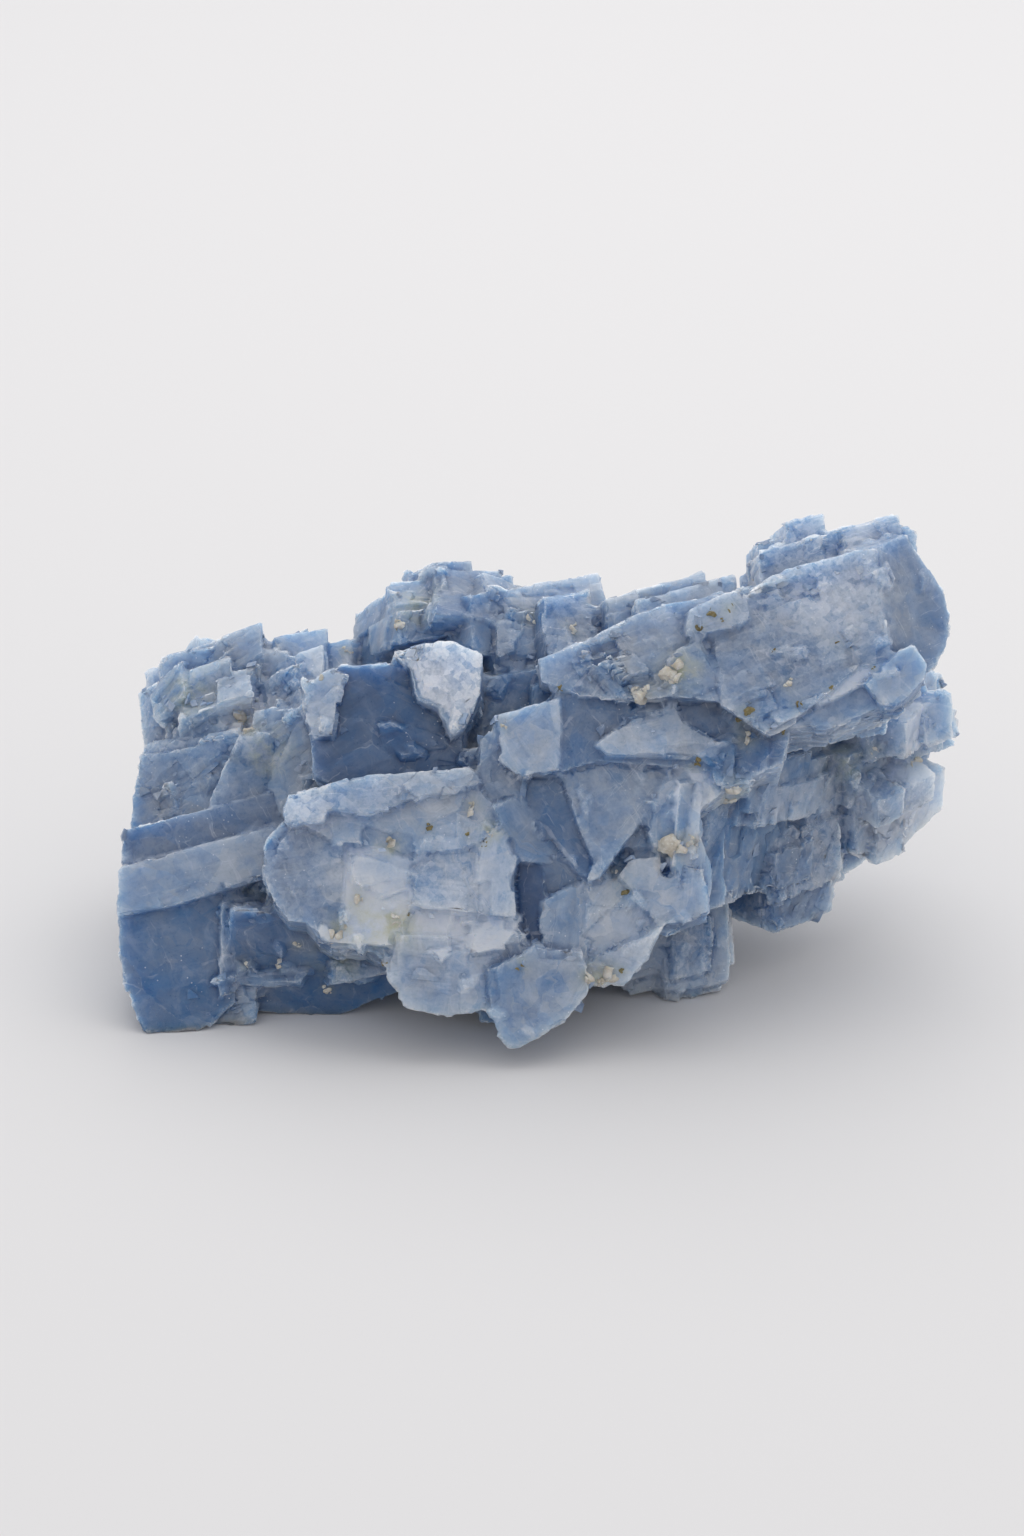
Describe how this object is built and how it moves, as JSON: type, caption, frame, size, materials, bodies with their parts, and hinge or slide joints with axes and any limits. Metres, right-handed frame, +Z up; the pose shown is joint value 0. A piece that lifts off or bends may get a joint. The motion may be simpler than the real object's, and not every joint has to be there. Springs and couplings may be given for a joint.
{
  "type": "raw blue calcite specimen",
  "caption": "Rough blue calcite hand specimen: cleavage plates, a rising crystal beam and lumpy rhombs grown into one stone that rests on flat feet.",
  "frame": {"origin": "centre of the bounding box's bottom face, on the surface that the stone stands on", "axes": "+X along the stone's longest extent, towards the end of the crystal beam; -Y towards the broad front; +Z up"},
  "size_m": [0.0862, 0.0484, 0.0461],
  "materials": {
    "calcite": "satin cleavage faces with frosted edges"
  },
  "bodies": {
    "root": {"calcite": "calcite"}
  },
  "joints": []
}
